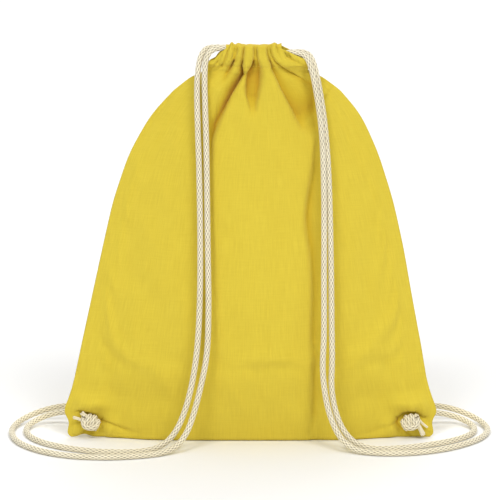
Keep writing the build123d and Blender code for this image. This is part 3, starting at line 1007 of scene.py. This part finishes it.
def cord_material(name, bright, dark):
    """Braided cotton: pale strands with painted shade in the gaps between them, and fine fibres along
    them.
    """
    make = Nodes(name, Roughness=0.9, Sheen_Weight=0.3, Sheen_Roughness=0.5)
    make.shader.inputs["Specular IOR Level"].default_value = 0.15
    gap = make.add("Attribute", attribute_name="painted_shade", attribute_type="GEOMETRY")
    ramp = make.add("ValToRGB")
    ramp.color_ramp.elements[0].position = 0.20
    ramp.color_ramp.elements[1].position = 0.66
    ramp.color_ramp.elements[0].color = (*bright, 1)
    ramp.color_ramp.elements[1].color = (*dark, 1)
    make.tree.links.new(gap.outputs["Fac"], ramp.inputs[0])
    place = make.add("TexCoord")
    fibres = make.noise(make.scaled(place, (2600.0, 2600.0, 900.0), "Object"), 3.0, 0.6)
    tone = make.noise(make.scaled(place, (55.0, 55.0, 55.0), "Object"), 2.0)
    fine = make.ramp(fibres, 0.3, 0.7, (0.90, 0.885, 0.85), (1.0, 1.0, 1.0))
    broad = make.ramp(tone, 0.3, 0.7, (0.96, 0.95, 0.92), (1.0, 1.0, 1.0))
    make.colour(make.multiplied(make.multiplied(ramp, fine), broad))
    make.bump([(fibres, 0.5)], 0.0002)
    return make.material


def thread_material():
    """Sewing thread, a little brighter than the cloth, with its twist."""
    make = Nodes("yellow_thread", Roughness=0.55, Sheen_Weight=0.2)
    make.shader.inputs["Specular IOR Level"].default_value = 0.35
    place = make.add("TexCoord")
    twist = make.noise(make.scaled(place, (2200.0, 2200.0, 2200.0), "Object"), 1.0)
    make.colour(make.ramp(twist, 0.3, 0.7, (0.70, 0.50, 0.030), (0.86, 0.69, 0.070)))
    make.bump([(twist, 0.4)], 0.0001)
    return make.material


def paint(piece, material):
    piece.data.materials.clear()
    piece.data.materials.append(material)


# ---- stage ----
WORLD_STRENGTH = 0.26


def make_stage():
    scene = bpy.context.scene
    scene.view_settings.view_transform = "Standard"
    world = bpy.data.worlds.new("studio")
    world.use_nodes = True
    background = world.node_tree.nodes["Background"]
    background.inputs["Color"].default_value = (1.0, 1.0, 1.0, 1)
    background.inputs["Strength"].default_value = WORLD_STRENGTH
    scene.world = world
    floor = mesh_object(
        "floor",
        np.array([(-6, -6, 0), (6, -6, 0), (6, 9, 0), (-6, 9, 0)], float),
        [(0, 1, 2, 3)],
    )
    pale = Nodes("pale_floor", Roughness=0.9)
    pale.shader.inputs["Base Color"].default_value = (0.93, 0.93, 0.93, 1)
    pale.shader.inputs["Specular IOR Level"].default_value = 0.0
    paint(floor, pale.material)
    suns = [
        # name, direction towards the light, strength, spread in degrees
        ("key", (-0.46, -1.0, 1.10), 0.98, 18),
        ("fill", (0.50, -1.0, 1.05), 1.14, 22),
        ("rear", (0.20, 1.0, 0.60), 0.70, 50),
        ("top", (0.0, 0.3, 1.0), 1.10, 60),
    ]
    for name, towards, strength, spread in suns:
        data = bpy.data.lights.new(name, "SUN")
        data.energy = strength
        data.angle = math.radians(spread)
        lamp = bpy.data.objects.new(name, data)
        lamp.rotation_euler = Vector(towards).to_track_quat("Z", "Y").to_euler()
        scene.collection.objects.link(lamp)


# ---- cords in the hems ----
RUN_SAG = 0.0030           # how low the middle of a run is pulled by the hem's dipping crown
RETURN_REACH = 0.0060      # how far a cord goes on beyond its run before it turns back


def cord_piece(name, route):
    """A braided cord along the spline of a short route."""
    centres, _ = even_points(spline_points(route), RING_STEP)
    points, faces, painted_shade = braided_tube(centres)
    return mesh_object(name, points, faces, painted_shade=painted_shade)


def make_runs(word, front, back, turn_x):
    """The stretches of one cord inside the hems, and its turn from the front hem to the back."""
    outward = math.copysign(1, turn_x - front[0])
    for side, start in (("front", front), ("back", back)):
        end = (turn_x, start[1], start[2])
        middle = ((start[0] + turn_x) / 2, start[1], start[2] - RUN_SAG)
        run = cord_piece(f"{word}_cord_{side}_run_braid", [start, middle, end])
        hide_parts(f"{word}_cord_{side}_run")
        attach(run, side + "_mouth")
        yield run
    far = turn_x + outward * RETURN_REACH
    level = (front[2] + back[2]) / 2
    for side, start in (("front", front), ("back", back)):
        y = start[1]
        route = [
            (turn_x - outward * 0.0008, y, start[2]),
            (turn_x + outward * 0.0035, y, start[2]),
            (far, y * 0.62, level + (start[2] - level) * 0.6),
            (far, 0, level),
        ]
        half = cord_piece(f"{word}_cord_{side}_turn", route)
        if side == "front":
            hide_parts(f"{word}_cord_return")
        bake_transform(half)
        yield half


# ---- knots ----
KNOT_TURNS = 3.0
KNOT_PITCH = 0.0050
KNOT_RISE = 0.0018          # the wound knot is drawn up this much by its pull on the hole
KNOT_TILT = math.radians(14)
COIL_HEIGHT = 0.0059        # from the knot's axis to the wound cord's centre, up and forwards
COIL_DEPTH = 0.0036


def knot_coil(centre, outward):
    """Centres of the cord wound round itself, tighter towards both ends of the knot."""
    turn = np.linspace(0, 1, 260)
    angle = 2 * math.pi * KNOT_TURNS * turn + 0.6
    slim = 1 - 0.30 * np.abs(2 * turn - 1) ** 3
    along = (turn - 0.5) * KNOT_TURNS * KNOT_PITCH
    up = COIL_HEIGHT * slim * np.cos(angle)
    x = centre.x + outward * (along * math.cos(KNOT_TILT) - up * math.sin(KNOT_TILT))
    z = centre.z + along * math.sin(KNOT_TILT) + up * math.cos(KNOT_TILT)
    y = centre.y - COIL_DEPTH * slim * np.sin(angle)
    return np.stack([x, y, z], axis=-1)


def make_knot(word):
    """The knot that holds both strands of a cord in front of a corner's hole."""
    low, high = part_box(word + "_knot")
    centre = (low + high) / 2 + Vector((0, 0, KNOT_RISE))
    outward = math.copysign(1, centre.x)
    coil, _ = even_points(knot_coil(centre, outward), RING_STEP)

    def place(x, y, z):
        return (centre.x + outward * x * MM, centre.y + y * MM, centre.z + z * MM)

    across = [
        place(6.6, 1.5, 4.0), place(7.6, -3.0, 0.0), place(4.2, -4.8, -4.4),
        place(-2.6, -4.8, -5.2), place(-7.4, -2.6, -2.4), place(-7.0, 2.0, 1.5),
    ]
    core = [
        place(-5.0, 5.6, -1.6), place(-3.0, 1.0, 0.0), place(3.0, 0.0, 0.0), place(7.0, -0.8, 2.0),
    ]
    parts = [braided_tube(coil)]
    for route in (across, core):
        parts.append(braided_tube(even_points(spline_points(route), RING_STEP)[0]))
    points, faces, painted_shade = join_parts(parts)
    piece = mesh_object(word + "_knot_wound", points, faces, painted_shade=painted_shade)
    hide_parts(word + "_knot")
    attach(piece, "bag")
    return piece


def thin_tube(centres, radii, sides=7):
    """Points, faces and painted-shade values, all nought, of a thin round thread along a line."""
    angle = np.arange(sides) * 2 * math.pi / sides
    points, faces = tube(centres, angle, np.asarray(radii)[:, None])
    return points, faces, np.zeros(len(points))


YARN_STEP = 0.0004

# cut ends: CAD node, route, radius (both in millimetres) and number of yarns
CUT_ENDS = {
    "left_cord_front_end": (
        [(-174.0, -6.6, 19.6), (-178.0, -7.0, 21.4), (-181.2, -7.6, 22.4), (-183.4, -8.2, 22.8)],
        1.7, 12,
    ),
    "left_cord_back_end": (
        [(-168.5, -8.2, 23.6), (-171.0, -9.0, 25.6), (-172.8, -9.4, 27.0), (-174.4, -9.8, 28.6)],
        2.2, 16,
    ),
    "right_cord_front_end": (
        [(171.0, -10.5, 18.0), (173.6, -11.0, 14.6), (175.8, -9.6, 9.4), (178.4, -8.4, 3.4)],
        2.5, 18,
    ),
    "right_cord_back_end": (
        [(171.0, -8.6, 23.0), (174.6, -8.8, 19.6), (178.6, -8.0, 15.4), (183.4, -7.2, 11.4)],
        1.3, 7,
    ),
}


def make_cut_end(name, route, radius, yarns, seed):
    """The loose end of a cord past its knot: its braid has come apart into slack yarns."""
    route = [tuple(c * MM for c in p) for p in route]
    centres, _ = even_points(spline_points(route), YARN_STEP)
    first, second = side_vectors(centres)
    part = np.linspace(0, 1, len(centres))
    rng = np.random.default_rng(seed)
    parts = []
    for k in range(yarns):
        angle = 2.4 * k + 1.6 * part + rng.uniform(-0.2, 0.2)
        away = radius * MM * math.sqrt((k + 0.3) / yarns) * 0.82
        spread = away * (1 + rng.uniform(0.1, 0.5) * smoothstep(0.6, 1.0, part))
        way = first * np.cos(angle)[:, None] + second * np.sin(angle)[:, None]
        line = centres + spread[:, None] * way
        reach = max(int(len(centres) * rng.uniform(0.86, 1.0)), 6)
        thick = radius * MM / math.sqrt(yarns) * 0.98
        radii = thick * np.clip((reach - np.arange(reach)) / 3.0, 0.45, 1)
        parts.append(thin_tube(line[:reach], radii, 9))
    points, faces, painted_shade = join_parts(parts)
    piece = mesh_object(name + "_yarns", points, faces, painted_shade=painted_shade)
    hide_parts(name)
    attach(piece, "bag")
    return piece


# ---- sewing ----
THREAD_RADIUS = 0.00024
STITCH_LENGTH = 0.0026
STITCH_GAP = 0.0008
HOLE_THREAD_RADIUS = 0.00036
HOLE_STITCHES = 46
STITCH_OUTER = 0.0080       # the hole's stitches reach from this far out to this near its middle
STITCH_INNER = 0.0051
ALLOWANCE_THICKNESS = 0.0008


def make_stitch_row(name, node, line, side, body):
    """A row of stitches on the cloth along a line, each a short thread that dips in at both ends."""
    gaps = np.linalg.norm(np.diff(line, axis=0), axis=1)
    along = np.concatenate([[0], np.cumsum(gaps)])
    parts = []
    start = 0.0015
    while start + STITCH_LENGTH < along[-1] - 0.001:
        places = np.linspace(start, start + STITCH_LENGTH, 7)
        points = np.stack([np.interp(places, along, line[:, k]) for k in range(3)], axis=1)
        lift = 0.00016 - 0.00065 * np.abs(np.linspace(-1, 1, 7)) ** 4
        points[:, 1] += side * lift
        parts.append(thin_tube(points, np.full(7, THREAD_RADIUS)))
        start += STITCH_LENGTH + STITCH_GAP
    points, faces, painted_shade = join_parts(parts)
    piece = mesh_object(name, points, faces, painted_shade=painted_shade)
    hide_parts(node)
    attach(piece, body)
    return piece


def make_hole_stitching(word):
    """Close stitches over the edge of a corner's hole, on both faces."""
    low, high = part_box(word + "_hole_stitching")
    centre = (low + high) / 2
    rng = np.random.default_rng(5)
    parts = []
    for k in range(HOLE_STITCHES):
        angle = 2 * math.pi * k / HOLE_STITCHES
        outer = STITCH_OUTER + rng.uniform(-0.0003, 0.0003)
        inner, face = STITCH_INNER, EAR_FACE + 0.00035
        path = [
            (outer, -face + 0.0006), (outer - 0.0004, -face), (inner + 0.0006, -face),
            (inner, -face + 0.0007), (inner, face - 0.0007),
            (inner + 0.0006, face), (outer - 0.0004, face), (outer, face - 0.0006),
        ]
        line = np.array([
            (centre.x + r * math.cos(angle), y, centre.z + r * math.sin(angle)) for r, y in path
        ])
        parts.append(thin_tube(line, np.full(len(line), HOLE_THREAD_RADIUS), 6))
    points, faces, painted_shade = join_parts(parts)
    piece = mesh_object(word + "_hole_stitches", points, faces, painted_shade=painted_shade)
    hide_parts(word + "_hole_stitching")
    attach(piece, "bag")
    return piece


def make_allowance(name, node, edge, inward):
    """The seam's raw edges inside the bag: a narrow double strip that waves a little."""
    rng = np.random.default_rng(11)
    noise = rng.normal(0, 1, len(edge) + 40)
    wave = np.convolve(noise, np.hanning(41) / 12, mode="valid")[:len(edge)]
    rows = []
    for depth, lift in ((0.0008, 0.0), (0.003, 0.35), (0.006, 0.8), (0.009, 1.0)):
        row = edge + inward * depth
        row[:, 1] += wave * 0.0012 * lift
        rows.append(row)
    points = np.stack(rows, axis=1)
    piece = mesh_object(name, points.reshape(-1, 3), grid_faces(len(edge), len(rows)))
    modifier = piece.modifiers.new("thickness", "SOLIDIFY")
    modifier.thickness = ALLOWANCE_THICKNESS
    modifier.offset = 0
    apply_modifiers(piece)
    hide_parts(node)
    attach(piece, "bag")
    return piece


# ---- build ----
make_camera()
strands = make_strands()
make_stage()
cloth_finish = cotton_material()
cord_finish = cord_material("natural_cotton_cord", CORD_COLOUR, CORD_SHADE)
thread_finish = thread_material()

for seed, (end_name, (route, radius, yarns)) in enumerate(CUT_ENDS.items()):
    paint(make_cut_end(end_name, route, radius, yarns, seed), cord_finish)
for word in ("left", "right"):
    paint(make_knot(word), cord_finish)
    paint(make_hole_stitching(word), thread_finish)
# each cord's place across the hems at which it turns from the front one to the back one
for word, turn_x in (("left", 0.0222), ("right", -0.0212)):
    front = strands[word + "_cord_front_strand"][1][0]
    back = strands[word + "_cord_back_strand"][1][0]
    for run in make_runs(word, tuple(front), tuple(back), turn_x):
        paint(run, cord_finish)

for strand_name, (strand, centres, length) in strands.items():
    word, _, side, _ = strand_name.split("_")
    paint(strand, cord_finish)
    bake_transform(strand)
    tuple(centres[0])
    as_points(centres[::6])

profile = bag_profile()
for word, side, seed in (("front", -1, 3), ("back", 1, 8)):
    cloth, rows = panel(word + "_cloth", side, profile, seed)
    settle(cloth)
    thicken(cloth, CLOTH_THICKNESS)
    paint(cloth, cloth_finish)
    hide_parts(word + "_panel", word + "_hem")
    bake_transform(cloth)
    flank, hem = cloth_heights()
    stitched = BASE_ROWS + len(flank) + int(np.argmin(np.abs(hem - NECK - STITCH_RISE)))
    line = rows[stitched][3:-3]
    row = make_stitch_row(
        word + "_hem_stitches", word + "_hem_stitching", line, side, word + "_mouth",
    )
    paint(row, thread_finish)

heights = np.arange(0.070, 0.372, 0.003)
for word, inward in (("left", 1), ("right", -1)):
    edge_x = np.interp(heights, profile["heights"], profile[word])
    edge = np.stack([edge_x, np.zeros_like(heights), heights], axis=-1)
    inwards = np.array((inward, 0, 0))
    strip = make_allowance(word + "_seam_allowance", word + "_side_seam", edge, inwards)
    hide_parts(word + "_corner")
    paint(strip, cloth_finish)
base_x = np.arange(-0.136, 0.1361, 0.003)
edge = np.stack([base_x, np.zeros_like(base_x), np.full_like(base_x, 0.0008)], axis=-1)
strip = make_allowance("bottom_seam_allowance", "bottom_seam", edge, np.array((0, 0, 1)))
paint(strip, cloth_finish)
